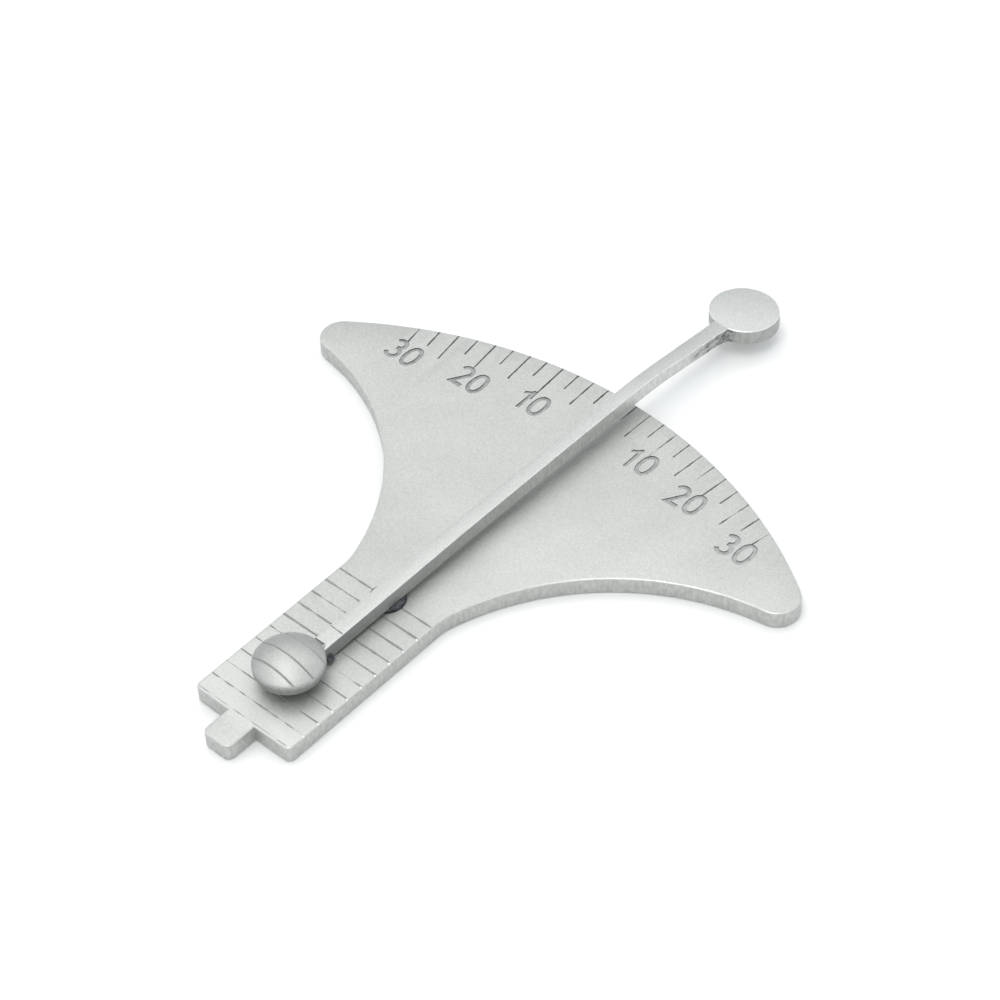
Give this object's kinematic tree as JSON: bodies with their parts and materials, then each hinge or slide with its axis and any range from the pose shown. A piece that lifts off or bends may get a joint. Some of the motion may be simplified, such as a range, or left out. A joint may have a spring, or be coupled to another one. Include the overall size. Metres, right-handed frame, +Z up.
{
  "type": "angle gauge",
  "caption": "Flat fan-shaped steel plate with a degree scale and a ruled tail, and a long pointer with a disc and a domed button that swings on a rivet.",
  "frame": {"origin": "under the middle of the whole gauge, on the surface that the plate lies on", "axes": "+Y from the tail's tongue to the fan's arc, +Z up through the plate"},
  "size_m": [0.0324, 0.0412, 0.0028],
  "materials": {
    "blasted_steel": "fine bead-blasted satin",
    "braze": "rough, dark filler metal"
  },
  "bodies": {
    "plate": {"scale_plate": "blasted_steel", "friction_washer": "blasted_steel"},
    "pointer": {"pivot_rivet": "blasted_steel", "pivot_braze": "braze", "pointer_arm": "blasted_steel", "dome_button": "blasted_steel", "button_braze": "braze"}
  },
  "joints": [
    {"name": "pointer_swing", "type": "hinge", "parent": "plate", "child": "pointer", "pos_m": [0.00017, -0.00863, 0], "axis": [0, 0, 1], "continuous": true}
  ]
}
